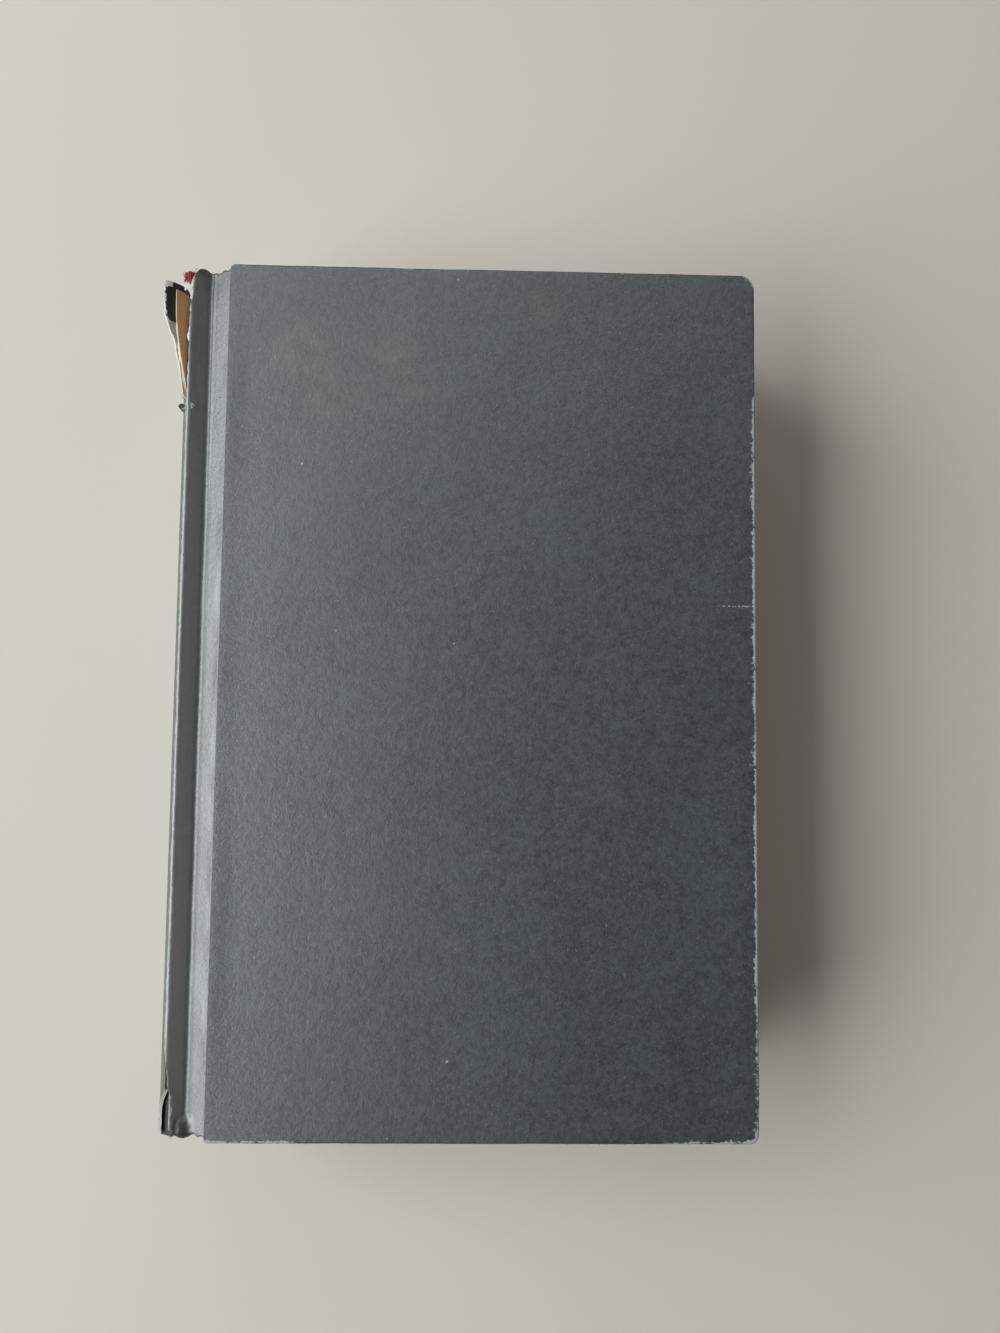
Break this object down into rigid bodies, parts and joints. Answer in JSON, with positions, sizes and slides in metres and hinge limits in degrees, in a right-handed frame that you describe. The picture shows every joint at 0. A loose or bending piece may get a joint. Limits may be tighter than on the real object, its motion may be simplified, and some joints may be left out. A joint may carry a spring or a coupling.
{
  "type": "hardback book",
  "caption": "Thick case-bound book lying closed, with plain charcoal covers that swing open on grooved joints, a rounded back and a spine covering torn at its head.",
  "frame": {"origin": "centre of the bounding box at the level of the back cover's outside, where the book lies on a table", "axes": "+X from the spine to the fore edge, +Y along the spine to the head, +Z from the back cover up to the front cover"},
  "size_m": [0.1672, 0.241, 0.057],
  "materials": {
    "pages": "matte",
    "lining_cloth": "matte",
    "band_thread": "matte",
    "endpaper": "matte",
    "charcoal_covering": "satin",
    "kraft_card": "matte",
    "greyboard": "matte"
  },
  "bodies": {
    "book_block": {"text_block": "pages", "spine_lining": "lining_cloth", "head_band": "band_thread", "tail_band": "band_thread", "front_flyleaf": "endpaper", "rear_flyleaf": "endpaper", "spine_covering": "charcoal_covering", "spine_inlay": "kraft_card", "front_joint": "charcoal_covering", "back_joint": "charcoal_covering"},
    "front_cover": {"front_board": "greyboard", "front_covering": "charcoal_covering", "front_pastedown": "endpaper"},
    "back_cover": {"back_board": "greyboard", "back_covering": "charcoal_covering", "back_pastedown": "endpaper"}
  },
  "joints": [
    {"name": "front_cover_hinge", "type": "hinge", "parent": "book_block", "child": "front_cover", "pos_m": [-0.07233, 0, 0.0555], "axis": [0, -1, 0], "range_deg": [0, 180], "deforming": ["front_joint"]},
    {"name": "back_cover_hinge", "type": "hinge", "parent": "book_block", "child": "back_cover", "pos_m": [-0.07233, 0, 0.0015], "axis": [0, 1, 0], "range_deg": [0, 180], "deforming": ["back_joint"]}
  ]
}
